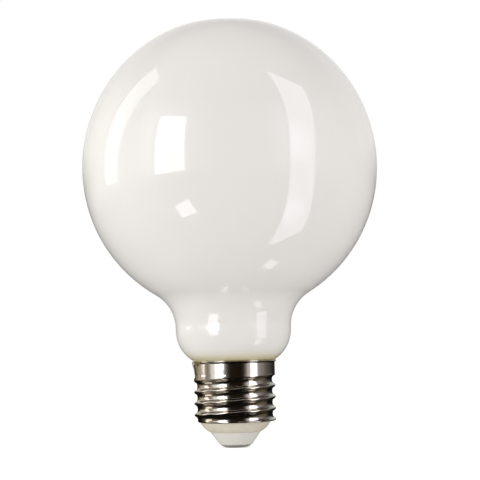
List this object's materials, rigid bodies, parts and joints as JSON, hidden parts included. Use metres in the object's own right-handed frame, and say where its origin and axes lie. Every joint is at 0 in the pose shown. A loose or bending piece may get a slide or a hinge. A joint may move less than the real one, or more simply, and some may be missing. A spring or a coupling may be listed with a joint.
{
  "type": "globe bulb",
  "caption": "Opal glass globe lamp on a bulged neck, with a nickel-plated Edison screw cap, an ivory insulator and a domed centre contact.",
  "frame": {"origin": "lowest point of the centre contact, on the lamp's axis", "axes": "+Z along the lamp's axis from the cap towards the globe, -Y towards the viewer of the picture, -X the side of the lead wire and notch"},
  "size_m": [0.095, 0.095, 0.1384],
  "materials": {
    "opal_glass": "glossy opal white",
    "nickel_plate": "bright nickel plate",
    "cement": "matt, yellowish",
    "ivory_insulator": "satin",
    "white_insulator": "satin",
    "contact_metal": "pressed, satin",
    "lead_wire": "drawn wire"
  },
  "bodies": {
    "root": {"glass_globe": "opal_glass", "screw_shell": "nickel_plate", "cap_cement": "cement", "insulator": "ivory_insulator", "contact_plug": "white_insulator", "centre_contact": "contact_metal", "side_lead": "lead_wire"}
  },
  "joints": []
}
